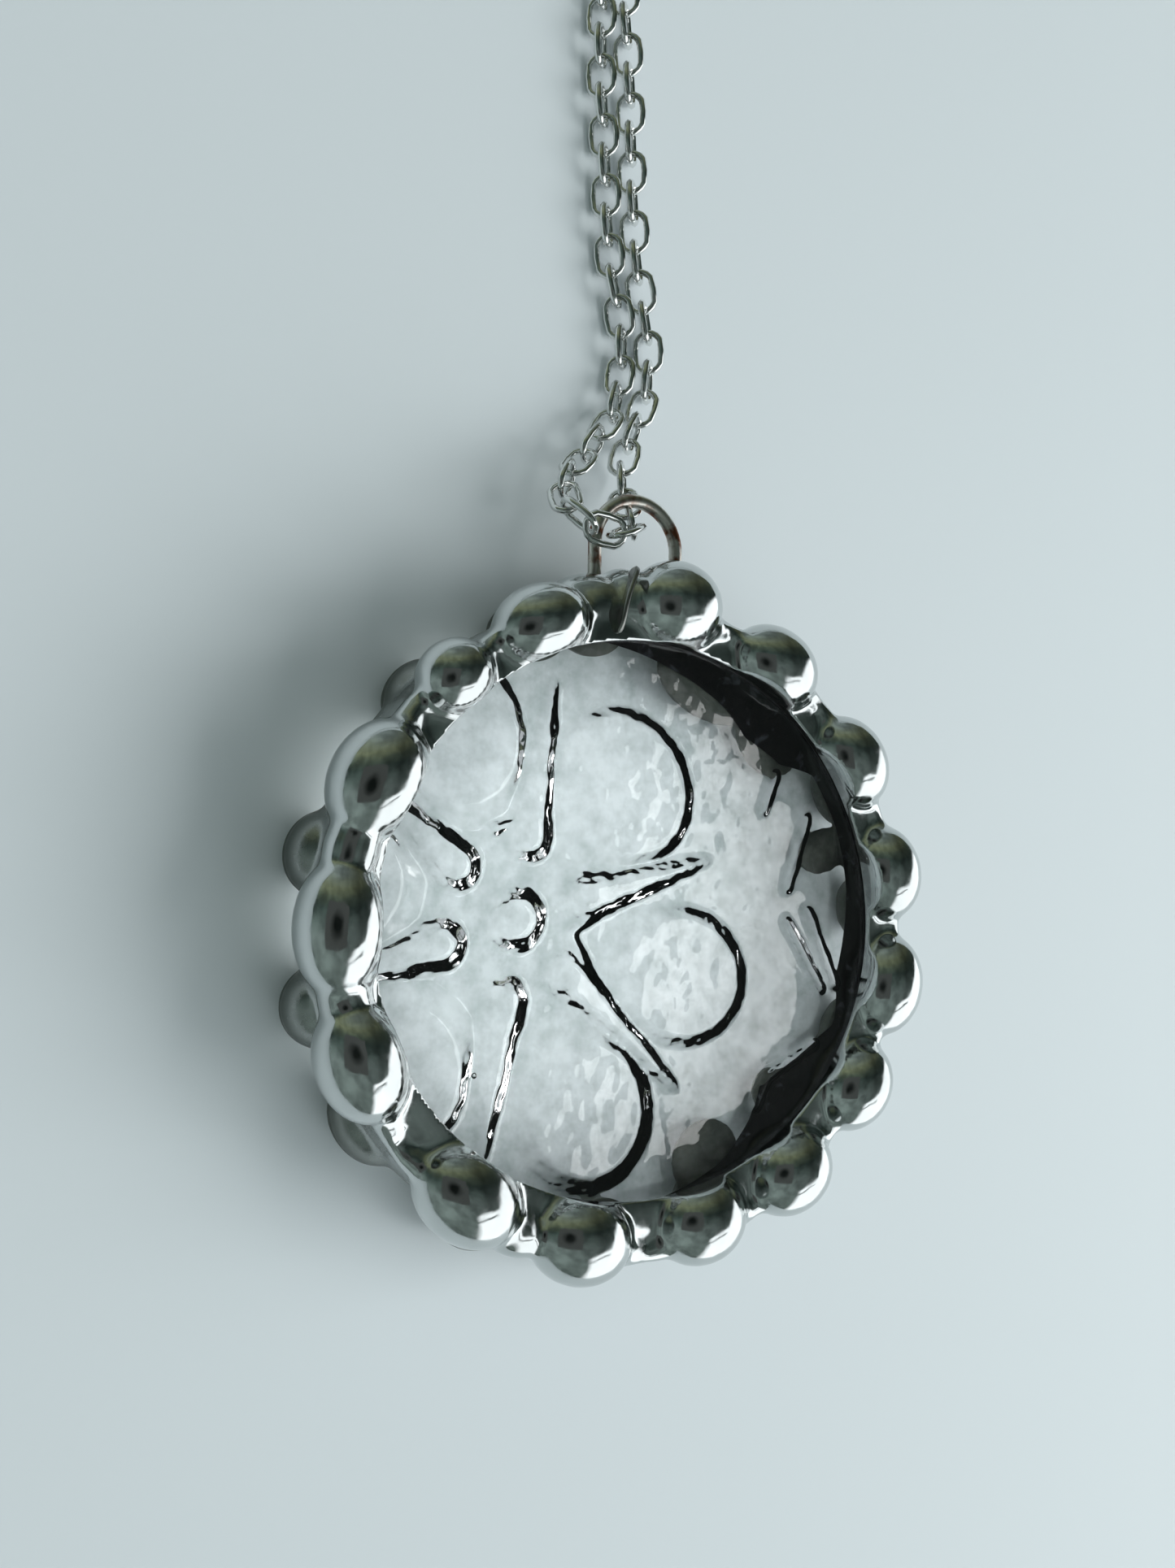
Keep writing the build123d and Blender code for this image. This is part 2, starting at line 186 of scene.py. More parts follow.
# %% The drops of solder
FRONT_DROPS = [
    {"azimuth": 84.6, "length": 5.2, "girth": 5.2, "out": 0.7, "lift": 0.0},
    {"azimuth": 60.5, "length": 5.4, "girth": 4.7, "out": 0.0, "lift": 0.2},
    {"azimuth": 34.5, "length": 5.5, "girth": 4.6, "out": 0.0, "lift": 0.2},
    {"azimuth": 10.5, "length": 5.4, "girth": 4.6, "out": 0.0, "lift": 0.2},
    {"azimuth": -12.0, "length": 5.7, "girth": 4.6, "out": 0.2, "lift": 0.2},
    {"azimuth": -33.0, "length": 5.2, "girth": 4.6, "out": 0.2, "lift": 0.2},
    {"azimuth": -55.0, "length": 5.2, "girth": 4.8, "out": -0.1, "lift": 0.2},
    {"azimuth": -77.0, "length": 5.2, "girth": 4.9, "out": -0.7, "lift": 0.1},
    {"azimuth": -103.0, "length": 5.4, "girth": 4.8, "out": -0.5, "lift": 0.15},
    {"azimuth": -127.5, "length": 5.8, "girth": 4.7, "out": -0.3, "lift": 0.2},
    {"azimuth": -158.0, "length": 5.8, "girth": 4.5, "out": 0.1, "lift": 0.2},
    {"azimuth": -180.0, "length": 6.3, "girth": 4.5, "out": 0.1, "lift": 0.2},
    {"azimuth": -205.0, "length": 5.9, "girth": 4.8, "out": 0.0, "lift": 0.15},
    {"azimuth": -227.5, "length": 4.0, "girth": 3.9, "out": 0.0, "lift": 0.2},
    {"azimuth": -247.0, "length": 5.2, "girth": 4.3, "out": 0.1, "lift": 0.2},
]
BACK_DROPS = [
    {"azimuth": 134.0, "length": 4.8, "girth": 4.1, "out": -0.4},
    {"azimuth": 168.0, "length": 4.7, "girth": 4.3},
    {"azimuth": 194.0, "length": 4.5, "girth": 4.5},
    {"azimuth": 216.0, "length": 5.4, "girth": 4.1},
    {"azimuth": 242.0, "length": 5.0, "girth": 4.5},
    {"azimuth": 267.0, "length": 4.6, "girth": 4.3},
    {"azimuth": 291.0, "length": 4.8, "girth": 4.5},
    {"azimuth": 315.0, "length": 4.4, "girth": 4.2},
    {"azimuth": 338.0, "length": 4.9, "girth": 3.7, "out": 0.8},
    {"azimuth": 3.0, "length": 4.6, "girth": 3.7, "out": 0.8},
    {"azimuth": 27.0, "length": 5.0, "girth": 3.7, "out": 0.8},
    {"azimuth": 51.0, "length": 4.5, "girth": 4.5},
    {"azimuth": 73.0, "length": 4.3, "girth": 4.2},
    {"azimuth": 97.0, "length": 4.7, "girth": 4.3},
    {"azimuth": 109.0, "length": 4.5, "girth": 3.8},
]
PUDDLES = [
    {"azimuth": 68.0, "reach": 13.3, "length": 7.5},
    {"azimuth": 47.5, "reach": 13.2, "length": 5.5},
    {"azimuth": 17.0, "reach": 13.4, "length": 3.0},
    {"azimuth": -43.0, "reach": 13.4, "length": 3.8},
    {"azimuth": -66.0, "reach": 12.8, "length": 5.0},
]
drop_circle = glass_radius + 0.1 * mm
front_opening = glass_radius - 1.5 * mm
seam_outside = glass_radius + 0.7 * mm
seam_height = 0.6 * mm
puddle_edge = 17.5
puddle_height = 0.5 * mm
puddle_z = back_z - 0.3 * mm
longer, thicker = 1.12, 1.04
foot_length, foot_girth = 1.6, 0.404
foot_circle = drop_circle - 0.1 * mm
foot_z = front_z + 0.1 * mm
solder_inside = glass_radius + 0.18 * mm
wall_thickness = 0.75 * mm


def add_drop(name, azimuth, radius, height, length, girth, rise=None):
    """A ball of solder, as long as said along the rim. Its half height can be set apart."""
    start_clean()
    place = around(radius, azimuth, height)
    turn = (0, 0, math.radians(azimuth))
    shape = (girth / 2, length / 2, rise or girth / 2)
    bpy.ops.mesh.primitive_uv_sphere_add(
        segments=32, ring_count=20, radius=1, location=place, rotation=turn, scale=shape
    )
    return keep_place(name)


def add_seam(name, inside, outside, height):
    """A flattened ring of solder along one edge of the glass."""
    start_clean()
    half_width = (outside - inside) / 2
    bpy.ops.mesh.primitive_torus_add(
        major_segments=144,
        minor_segments=20,
        major_radius=(inside + outside) / 2,
        minor_radius=half_width,
        location=middle + Vector((0, 0, height)),
    )
    bpy.context.object.scale.z = seam_height / half_width
    return keep_place(name)


solder_parts = [
    add_seam("front_seam", front_opening - 1.6 * mm, glass_radius + 0.3 * mm, front_z),
    add_seam("back_seam", glass_radius - 0.7 * mm, seam_outside, back_z),
]
for drop in FRONT_DROPS:
    radius = drop_circle + drop["out"] * mm
    height = front_z + drop["lift"] * mm
    length = longer * drop["length"] * mm
    girth = thicker * drop["girth"] * mm
    solder_parts.append(add_drop("front_drop", drop["azimuth"], radius, height, length, girth))
    foot = (foot_circle, foot_z, foot_length * length, foot_girth * girth)
    solder_parts.append(add_drop("foot", drop["azimuth"], *foot))
for drop in BACK_DROPS:
    radius = drop_circle + drop.get("out", 0.0) * mm
    girth = drop["girth"] * mm
    length = drop["length"] * mm
    solder_parts.append(add_drop("back_drop", drop["azimuth"], radius, girth / 2, length, girth))
for puddle in PUDDLES:
    girth = (puddle_edge - puddle["reach"]) * mm
    radius = puddle["reach"] * mm + girth / 2
    shape = (puddle["length"] * mm, girth, puddle_height)
    solder_parts.append(add_drop("puddle", puddle["azimuth"], radius, puddle_z, *shape))
print(len(solder_parts), "rings and drops of solder")

# %% [markdown]
# The wall between the two seams is a plain tube that covers the edge of the glass. The long
# drops on the left also left narrow tails as they ran down to their neighbours. The wire loop
# stands in a larger blob, and a low collar of solder fills the gap between it and the first drop.

# %% The wall, the tails, the blob and the collar
TAILS = [
    {"azimuth": -116.5, "length": 4.4, "girth": 2.7},
    {"azimuth": -192.5, "length": 4.7, "girth": 2.9},
    {"azimuth": -169.0, "length": 4.5, "girth": 2.8},
]
for tail in TAILS:
    girth = tail["girth"] * mm
    length = tail["length"] * mm
    solder_parts.append(add_drop("tail", tail["azimuth"], drop_circle, front_z, length, girth))

wall_short = 0.3 * mm
wall_depth = front_z - back_z - wall_short
wall_z = middle_z - wall_short / 2
wall = add_cylinder("wall", 144, solder_inside + wall_thickness, wall_depth, wall_z, "NOTHING")
modify(wall, "SOLIDIFY", thickness=wall_thickness, offset=-1.0)
solder_parts.append(wall)

blob_circle = glass_radius + 0.5 * mm
blob_z = middle_z + 0.6 * mm
solder_parts.append(add_drop("blob", 100.4, blob_circle, blob_z, length=5.6 * mm, girth=4.3 * mm))
collar_circle = glass_radius + 0.7 * mm
collar_z = front_z - 1.3 * mm
solder_parts.append(
    add_drop("collar", 93.6, collar_circle, collar_z, length=3.4 * mm, girth=4.4 * mm)
)

# %% [markdown]
# Melted solder has one skin, so all balls and rings are joined, and a voxel remesh builds one new
# surface round them. Small voxels keep the drops round. A few steps of smoothing then round the
# creases between neighbours. Last, two plain cylinders are cut away: the seat of the glass, and
# the opening at the front. The rim was not soldered quite round, so the lower half of the
# opening is a little flatter than the upper half.

# %% Melt the solder into one skin
voxel = 0.2 * mm
smoothing_steps = 14
seat_play = 0.36 * mm
bore_depth = 8 * mm
solder = join(solder_parts, "beaded_solder_rim")
modify(solder, "REMESH", mode="VOXEL", voxel_size=voxel, adaptivity=0.0)
modify(solder, "SMOOTH", factor=0.5, iterations=smoothing_steps)

seat_depth = front_z - back_z + seat_play
glass_seat = add_cylinder("glass_seat", 192, solder_inside, seat_depth, middle_z)
bore_z = middle_z + bore_depth / 2
front_bore = add_cylinder("front_bore", 192, front_opening, bore_depth, bore_z)
flatter = 0.94
for corner in front_bore.data.vertices:
    if corner.co.y < middle.y:
        corner.co.y = middle.y + flatter * (corner.co.y - middle.y)
cut(solder, glass_seat)
cut(solder, front_bore)
smooth(solder)
report(solder)

# %% [markdown]
# ## The wire loop
# The loop is a piece of round copper wire, bent to a U and tinned. It starts as a torus of the
# wire's thickness. Its lower half is cut away, and the two open ends are pulled down to the
# rim, where they stand in solder. Its top lies 0.8 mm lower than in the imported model, so the
# chain cuts into it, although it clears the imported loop.

# %% Bend the wire loop
wire_radius = 0.4 * mm
loop_radius = 2.75 * mm
loop_x = 0.35 * mm
loop_top = 24.7 * mm
loop_foot = 17.9 * mm
loop_centre = middle + Vector((loop_x, loop_top - loop_radius, middle_z))

start_clean()
bpy.ops.mesh.primitive_torus_add(
    major_segments=48,
    minor_segments=16,
    major_radius=loop_radius,
    minor_radius=wire_radius,
    location=loop_centre,
)
wire_loop = keep_place("wire_loop")
edit_all(wire_loop)
bpy.ops.mesh.bisect(plane_co=loop_centre, plane_no=(0, 1, 0), clear_inner=True)
legs = (0, loop_foot - (loop_top - loop_radius), 0)
bpy.ops.mesh.extrude_region_move(TRANSFORM_OT_translate={"value": legs})
bpy.ops.mesh.select_all(action="SELECT")
bpy.ops.mesh.fill_holes(sides=16)
bpy.ops.mesh.normals_make_consistent(inside=False)
bpy.ops.object.mode_set(mode="OBJECT")
smooth(wire_loop)
report(wire_loop)

# %% [markdown]
# ## Pressed glass
# The flower was pressed into the back of the hot glass by an iron die. The same is done here.
# First a die is built: a dome for the middle, six bars for the ribs and six wedges for the
# petals. Each bar and wedge is the convex hull of a few cones, which gives it sloping walls and
# round corners at once. The tip of a bar is a stretched cone, so that the rib runs out to a point.
# The die is melted into one skin, so that its edges are soft, and then it is subtracted from a
# plain disc.

# %% Build the die
flower_middle = middle + Vector((-6.8, 0.3, 0)) * mm
RIBS = [
    {"azimuth": 15.0, "reach": 13.7},
    {"azimuth": 81.0, "reach": 14.1},
    {"azimuth": 141.0, "reach": 13.7},
    {"azimuth": 197.0, "reach": 13.7},
    {"azimuth": 262.3, "reach": 13.8},
    {"azimuth": 317.0, "reach": 15.0},
]
PETALS = [
    {"azimuth": 48.0, "spread": 25.5, "reach": 14.7, "wall": 0.7},
    {"azimuth": 109.5, "spread": 19.0, "reach": 15.4, "wall": 0.6},
    {"azimuth": 169.0, "spread": 19.0, "reach": 15.7, "wall": 0.6},
    {"azimuth": 229.0, "spread": 22.0, "reach": 15.7, "wall": 0.6},
    {"azimuth": 293.0, "spread": 20.0, "reach": 16.6, "wall": 1.2, "depth": 0.75},
    {"azimuth": 342.7, "spread": 19.0, "reach": 16.2, "wall": 0.9},
]
CREASES = [
    {"from": (11.8, 2.1), "to": (13.3, 6.5)},
    {"from": (11.8, 0.1), "to": (14.5, -4.1)},
    {"from": (13.4, 0.7), "to": (15.6, -3.9)},
    {"from": (10.8, 9.1), "to": (10.0, 6.9)},
    {"from": (10.4, -9.4), "to": (14.0, -7.5)},
    {"from": (10.4, -9.4), "to": (9.6, -11.0)},
    {"from": (-1.4, 1.0), "to": (-3.4, -0.6)},
    {"from": (-3.4, -0.6), "to": (-2.2, -2.6)},
    {"from": (-8.1, 5.2), "to": (-6.7, 5.6)},
]
rib_start = 4.6
rib_depth = 0.8 * mm
tip_length = 2.2
petal_depth = 0.5
root_at, root_spread = 0.4, 0.45
petal_at, petal_half, petal_width = 0.7, 0.3, 0.8
crease_depth = 0.5 * mm
die_below = 0.4 * mm
die_voxel = 0.13 * mm
die_face_depth = 0.6 * mm
flower_limit = 16.4 * mm
least_slope = 0.08


def flower_point(radius, azimuth):
    """The point at a radius in millimetres and an azimuth, round the flower's own middle."""
    turn = math.radians(azimuth)
    return flower_middle + Vector((math.cos(turn), math.sin(turn), 0)) * radius * mm


def add_cone(place, wide, narrow, depth, stretch=1.0, azimuth=0.0):
    """A blunt cone that stands through the back face, wide at the back and narrow at its top."""
    start_clean()
    slope = (wide - narrow) / depth
    bpy.ops.mesh.primitive_cone_add(
        vertices=48,
        radius1=wide + slope * die_below,
        radius2=narrow,
        depth=depth + die_below,
        location=place + Vector((0, 0, back_z + (depth - die_below) / 2)),
        rotation=(0, 0, math.radians(azimuth)),
        scale=(1.0, stretch, 1.0),
    )
    return keep_place("cone")


def hull(cones, name):
    """The convex hull of a few cones."""
    shape = join(cones, name)
    edit_all(shape)
    bpy.ops.mesh.convex_hull()
    bpy.ops.object.mode_set(mode="OBJECT")
    return shape


die_parts = [add_cone(flower_middle, wide=1.95 * mm, narrow=1.05 * mm, depth=0.8 * mm)]
for rib in RIBS:
    azimuth = rib["azimuth"]
    start = flower_point(rib_start, azimuth)
    near = add_cone(start, wide=1.55 * mm, narrow=0.7 * mm, depth=rib_depth)
    tip = flower_point(rib["reach"] - tip_length, azimuth)
    far = add_cone(tip, tip_length * mm, 0.15 * mm, depth=0.5 * mm, stretch=0.25, azimuth=azimuth)
    die_parts.append(hull([near, far], "rib"))
for petal in PETALS:
    azimuth = petal["azimuth"]
    reach = petal["reach"]
    wall = petal["wall"] * mm
    depth = petal.get("depth", petal_depth) * mm
    cones = []
    for side in (-root_spread, root_spread):
        centre = flower_point(root_at * reach, azimuth + side * petal["spread"])
        cones.append(add_cone(centre, wide=0.6 * mm, narrow=0.3 * mm, depth=0.1 * mm))
    long_half = petal_half * reach * mm
    wide_half = petal_width * reach * math.sin(math.radians(petal["spread"])) * mm
    centre = flower_point(petal_at * reach, azimuth)
    stretch = wide_half / long_half
    cones.append(add_cone(centre, long_half, long_half - wall, depth, stretch, azimuth))
    die_parts.append(hull(cones, "petal"))
for crease in CREASES:
    ends = []
    for key in ("from", "to"):
        place = middle + Vector((*crease[key], 0)) * mm
        ends.append(add_cone(place, wide=0.45 * mm, narrow=0.02 * mm, depth=crease_depth))
    die_parts.append(hull(ends, "crease"))

stamps = join(die_parts, "flower_stamps")
modify(stamps, "REMESH", mode="VOXEL", voxel_size=die_voxel, adaptivity=0.0)
cut(stamps, add_cylinder("limit", 96, flower_limit, 6 * mm, back_z), "INTERSECT")
face_z = back_z - die_face_depth / 2
die_face = add_cylinder("die_face", 96, glass_radius + 0.6 * mm, die_face_depth, face_z)
die = join([die_face, stamps], "flower_die")
modify(die, "REMESH", mode="VOXEL", voxel_size=die_voxel, adaptivity=0.0)
walls = die.vertex_groups.new(name="walls")
for corner in die.data.vertices:
    steep = 1 - abs(corner.normal.z)
    if steep > least_slope and corner.co.z > back_z:
        walls.add([corner.index], min(1.0, 4 * steep), "REPLACE")
chipped = bpy.data.textures.new("chipped_iron", "CLOUDS")
chipped.noise_scale = 0.8 * mm
modify(die, "DISPLACE", texture=chipped, strength=0.25 * mm, mid_level=0.5, vertex_group="walls")
hammered = bpy.data.textures.new("hammered_iron", "CLOUDS")
hammered.noise_scale = 1.2 * mm
modify(die, "DISPLACE", texture=hammered, strength=0.05 * mm, mid_level=0.5)
modify(die, "SMOOTH", factor=0.5, iterations=3)
report(die)

# %% [markdown]
# The roundel itself is a plain disc, and the die is subtracted from it. What is left has sharp
# outer edges and the soft hollows of the flower. One small air bubble stayed in the glass, and it
# is subtracted as a ball. Shading is smooth up to an angle, so that the flat faces stay flat in
# reflections and the hollows look rounded.

# %% Press the glass
spare = 0.3 * mm
disc_depth = front_z - back_z + spare
disc_z = middle_z - spare / 2
glass = add_cylinder("pressed_glass_roundel", 192, glass_radius, disc_depth, disc_z)
cut(glass, die)
start_clean()
bpy.ops.mesh.primitive_uv_sphere_add(
    segments=16, ring_count=10, radius=0.17 * mm, location=on_pendant(-9.6, -7.9, 4.3)
)
cut(glass, keep_place("bubble"))
pick(glass)
bpy.ops.object.shade_smooth_by_angle(angle=math.radians(60))
report(glass)

# %% [markdown]
# ## Foil
# Stained-glass workers fold copper tape round the edge of each piece, because solder sticks to
# copper and not to glass. This tape has a black back. Through the glass its back is the black
# band at the rim. The tape was cut by hand, so its inner edge at the back is uneven.
# It starts as an open tube, and both of its edges are pulled inward. The tape is bonded to the
# glass, so it lies a hair inside the glass, and no light can slip in between.

# %% Fold the foil
BACK_EDGE = [
    (-94, 16.4), (-81, 16.1), (-63, 15.8), (-52, 14.9), (-45, 13.9), (-28, 15.7), (-22, 16.8),
    (-11, 16.1), (8, 16.7), (20, 16.8), (34, 16.6), (41, 14.9), (53, 14.2), (61, 14.8),
    (80, 15.5), (97, 16.4), (266, 16.4),
]
bond = 0.03 * mm


def back_reach(azimuth):
    """How far from the middle the foil ends on the back face, at an azimuth."""
    turned = azimuth if azimuth >= BACK_EDGE[0][0] else azimuth + 360
    places = [place for place, _ in BACK_EDGE]
    reaches = [reach for _, reach in BACK_EDGE]
    return float(np.interp(turned, places, reaches)) * mm


foil_depth = front_z - back_z - 2 * bond
foil_radius = glass_radius - bond
foil = add_cylinder("black_backed_foil", 288, foil_radius, foil_depth, middle_z, "NOTHING")
bpy.ops.object.mode_set(mode="EDIT")
for edge_z in (front_z, back_z):
    bpy.ops.mesh.select_mode(type="EDGE")
    bpy.ops.mesh.select_all(action="DESELECT")
    mesh = bmesh.from_edit_mesh(foil.data)
    for edge in mesh.edges:
        edge.select_set(all(abs(corner.co.z - edge_z) < 2 * bond for corner in edge.verts))
    bmesh.update_edit_mesh(foil.data)
    bpy.ops.mesh.extrude_edges_move()
    mesh = bmesh.from_edit_mesh(foil.data)
    for corner in mesh.verts:
        if corner.select:
            out = corner.co - middle
            azimuth = math.degrees(math.atan2(out.y, out.x))
            reach = front_opening if edge_z == front_z else back_reach(azimuth)
            scale = reach / math.hypot(out.x, out.y)
            corner.co.x = middle.x + out.x * scale
            corner.co.y = middle.y + out.y * scale
    bmesh.update_edit_mesh(foil.data)
bpy.ops.mesh.select_all(action="SELECT")
bpy.ops.mesh.normals_make_consistent(inside=False)
bpy.ops.object.mode_set(mode="OBJECT")
modify(foil, "SOLIDIFY", thickness=0.08 * mm, offset=1.0)
smooth(foil)
report(foil)

# %% [markdown]
# ## A fold that stands up
# Where the tape starts and ends, a bit of it was creased and stands up between the blob and the
# first drop, sunk into the solder. It is a thin bent sheet, so it starts as a standing grid. Its
# outline is rounded towards both ends, and its upper edge leans outward. Then it gets its
# thickness and is rounded by subdivision.

# %% Stand the fold of foil beside the first drop
fold_from = on_pendant(-2.3, 16.2, 6.9)
fold_to = on_pendant(-1.15, 20.1, 6.9)
fold_way = fold_to - fold_from
fold_height = 1.8 * mm
fold_lean = 0.35 * mm
start_clean()
bpy.ops.mesh.primitive_grid_add(
    x_subdivisions=16,
    y_subdivisions=6,
    size=1,
    location=(fold_from + fold_to) / 2,
    rotation=(math.radians(90), 0, math.atan2(fold_way.y, fold_way.x)),
)
bpy.context.object.scale = (fold_way.length, fold_height, 1)
fold = keep_place("foil_fold")
outward = Vector((-fold_way.y, fold_way.x, 0)).normalized()
for corner in fold.data.vertices:
    along = 2 * (corner.co - fold_from).dot(fold_way) / fold_way.length_squared - 1
    roundness = math.sqrt(max(0.0, 1 - along**2))
    up_share = (corner.co.z - fold_from.z) / (fold_height / 2)
    corner.co.z = fold_from.z + up_share * (0.2 + 0.8 * roundness) * fold_height / 2
    corner.co += outward * (roundness**2) * (0.5 + 0.5 * up_share) * fold_lean
modify(fold, "SOLIDIFY", thickness=0.3 * mm, offset=0.0)
modify(fold, "SUBSURF", levels=1)
smooth(fold)
report(fold)

# %% [markdown]
# ## Cable chain
# All links of a cable chain are alike, and each one is turned a quarter from the last. One link
# is a torus whose two halves are pulled apart. Where each link lies, and how it is turned, is
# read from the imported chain. Its mesh is loose triangles, so a copy of it is merged and split
# into its links. The longest way of a link's points is its length, and the shortest way is its
# thickness.

# %% Make one link and copy it along the chain
link_wire = 0.4 * mm
link_width = 2.05 * mm
link_length = 2.93 * mm
start_clean()
bpy.ops.mesh.primitive_torus_add(
    major_segments=16,
    minor_segments=6,
    major_radius=(link_width - link_wire) / 2,
    minor_radius=link_wire / 2,
)
link = keep_place("link")
bpy.ops.object.mode_set(mode="EDIT")
for side in (-1, 1):
    bpy.ops.mesh.select_all(action="DESELECT")
    mesh = bmesh.from_edit_mesh(link.data)
    for corner in mesh.verts:
        corner.select_set(corner.co.x * side > 0.01 * mm)
    mesh.select_flush_mode()
    bmesh.update_edit_mesh(link.data)
    bpy.ops.transform.translate(value=(side * (link_length - link_width) / 2, 0, 0))
bpy.ops.object.mode_set(mode="OBJECT")

packed_chain = bpy.data.objects.new("packed_chain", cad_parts["chain"].data.copy())
bpy.context.collection.objects.link(packed_chain)
edit_all(packed_chain)
bpy.ops.mesh.remove_doubles(threshold=0.001 * mm)
bpy.ops.mesh.separate(type="LOOSE")
bpy.ops.object.mode_set(mode="OBJECT")
links = []
for packed_link in list(bpy.context.selected_objects):
    corners = np.array([corner.co for corner in packed_link.data.vertices])
    bpy.data.meshes.remove(packed_link.data)
    centre = corners.mean(axis=0)
    _, _, ways = np.linalg.svd(corners - centre, full_matrices=False)
    along, thickness = Vector(ways[0]), Vector(ways[2])
    across = thickness.cross(along)
    copy = link.copy()
    copy.data = link.data.copy()
    bpy.context.collection.objects.link(copy)
    turn = Matrix((along, across, thickness)).transposed().to_4x4()
    copy.matrix_world = Matrix.Translation(Vector(centre)) @ turn
    links.append(copy)
bpy.data.objects.remove(link)
chain = join(links, "cable_chain")
smooth(chain)
print(len(links), "links")
report(chain)

# %% [markdown]
# ## Finishes
# Colours are picked as web colours, and one function turns them to the linear values that
# Blender mixes with. A second small function adds a shader node with its settings and links, so
# that each finish reads like a recipe. A noise has a size in millimetres, and its scale is one
# over that size, because object coordinates are in metres.

# %% Helpers for finishes
def linear(web_colour):
    """A web colour such as #C0C0C0 as linear red, green, blue and alpha."""
    channels = [int(web_colour[place : place + 2], 16) / 255 for place in (1, 3, 5)]
    return [c / 12.92 if c <= 0.04045 else ((c + 0.055) / 1.055) ** 2.4 for c in channels] + [1.0]


def add_node(tree, kind, settings=None, inputs=None):
    """Adds a shader node. An input is a value, or the output socket that feeds it."""
    node = tree.nodes.new(kind)
    for name, value in (settings or {}).items():
        setattr(node, name, value)
    for name, value in (inputs or {}).items():
        if isinstance(value, bpy.types.NodeSocket):
            tree.links.new(value, node.inputs[name])
        else:
            node.inputs[name].default_value = value
    return node


def new_finish(name):
    """An empty material with its output node, its tree and object coordinates."""
    finish = bpy.data.materials.new(name)
    finish.use_nodes = True
    tree = finish.node_tree
    tree.nodes.clear()
    output = add_node(tree, "ShaderNodeOutputMaterial")
    places = add_node(tree, "ShaderNodeTexCoord").outputs["Object"]
    return finish, tree, output, places


def finish_with(finish, output, shader):
    """Links the last shader to the output and counts the nodes."""
    finish.node_tree.links.new(shader, output.inputs["Surface"])
    print(finish.name, len(finish.node_tree.nodes), "nodes")


# %% [markdown]
# ### Soft solder
# Solder is tin with some lead or silver in it. The drops on top were rubbed bright, and the ones
# at the back stayed dull. Both are one metal, so one finish does for both: the height in object
# coordinates says how dull it gets. Low down the colour turns a darker grey, partly the dull metal
# and partly painted shade on the back drops and on the puddles under the glass. Two noises make the
# polish a little uneven, as every hand polish is: clouds of 3 mm in the colour, and rubbing marks
# of half a millimetre in the gloss. The solder under the glass was never rubbed at all, so it is
# matte.

# %% Soft solder
solder_finish, tree, output, places = new_finish("soft_solder_hand_polished")
clouds = add_node(
    tree, "ShaderNodeTexNoise", inputs={"Vector": places, "Scale": 1 / (3.0 * mm), "Detail": 3.0}
)
rubbing = add_node(
    tree, "ShaderNodeTexNoise", inputs={"Vector": places, "Scale": 1 / (0.5 * mm), "Detail": 5.0}
)
polished_colour = add_node(
    tree,
    "ShaderNodeMix",
    {"data_type": "RGBA"},
    {0: clouds.outputs["Fac"], 6: linear("#B0B4B3"), 7: linear("#DADEDE")},
)
heights = add_node(tree, "ShaderNodeSeparateXYZ", inputs={"Vector": places})
# Low solder is duller, and its darker grey colour is partly painted shade.
dull_and_painted_shade = add_node(
    tree,
    "ShaderNodeMapRange",
    inputs={
        "Value": heights.outputs["Z"],
        "From Min": 2.5 * mm,
        "From Max": 5.5 * mm,
        "To Min": 1.0,
        "To Max": 0.0,
    },
)
solder_colour = add_node(
    tree,
    "ShaderNodeMix",
    {"data_type": "RGBA"},
    {0: dull_and_painted_shade.outputs["Result"], 6: polished_colour.outputs[2], 7: linear("#6C706B")},
)
polish = add_node(
    tree,
    "ShaderNodeMapRange",
    inputs={
        "Value": rubbing.outputs["Fac"],
        "From Min": 0.35,
        "From Max": 0.7,
        "To Min": 0.06,
        "To Max": 0.18,
    },
)
unrubbed = add_node(
    tree,
    "ShaderNodeMapRange",
    inputs={
        "Value": heights.outputs["Z"],
        "From Min": 2.1 * mm,
        "From Max": 2.3 * mm,
        "To Min": 0.35,
        "To Max": 0.0,
    },
)
rubbed_roughness = add_node(
    tree,
    "ShaderNodeMath",
    {"operation": "MULTIPLY_ADD"},
    {0: dull_and_painted_shade.outputs["Result"], 1: 0.25, 2: polish.outputs["Result"]},
)
solder_roughness = add_node(
    tree,
    "ShaderNodeMath",
    {"operation": "ADD"},
    {0: rubbed_roughness.outputs["Value"], 1: unrubbed.outputs["Result"]},
)
solder_waves = add_node(
    tree, "ShaderNodeBump", inputs={"Height": clouds.outputs["Fac"], "Distance": 0.05 * mm}
)
metal = add_node(
    tree,
    "ShaderNodeBsdfPrincipled",
    inputs={
        "Base Color": solder_colour.outputs[2],
        "Metallic": 1.0,
        "Roughness": solder_roughness.outputs["Value"],
        "Normal": solder_waves.outputs["Normal"],
    },
)
finish_with(solder_finish, output, metal.outputs["BSDF"])

# %% [markdown]
# ### Tinned copper wire
# The wire was dipped in solder before it was bent. The tin is thin, and brown copper shows where
# it cracked or wore off. A noise of 1.6 mm, squeezed to a narrow range, gives patches with clear
# edges. The same noise as a bump makes the tin stand a little higher than the copper.

